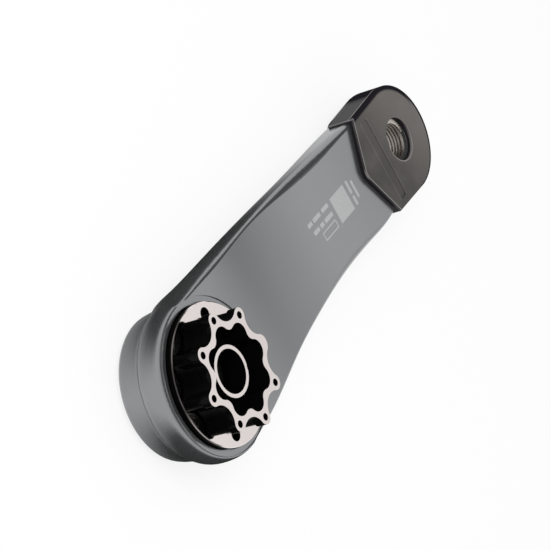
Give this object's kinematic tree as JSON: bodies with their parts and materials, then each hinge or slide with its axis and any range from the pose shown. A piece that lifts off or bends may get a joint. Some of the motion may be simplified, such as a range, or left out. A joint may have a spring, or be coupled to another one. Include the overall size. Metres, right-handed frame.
{
  "type": "bicycle crank arm",
  "caption": "Aluminium crank arm with a lobed direct-mount chainring seat at the hub and a rubber boot over the threaded pedal end.",
  "frame": {"origin": "on the spindle axis, in the plane of the chainring seat", "axes": "+X along the arm to the pedal axis, +Z along the spindle towards the bicycle"},
  "size_m": [0.2034, 0.0554, 0.031],
  "materials": {
    "arm_aluminium": "satin anodised grey",
    "mount_aluminium": "machined and polished",
    "bolt_steel": "black oxide",
    "cap_aluminium": "black anodised",
    "boot_rubber": "matt moulded rubber"
  },
  "bodies": {
    "root": {"arm_body": "arm_aluminium", "chainring_mount": "mount_aluminium", "crank_bolt": "bolt_steel", "bolt_washer": "bolt_steel", "extractor_cap": "cap_aluminium", "end_boot": "boot_rubber"}
  },
  "joints": []
}
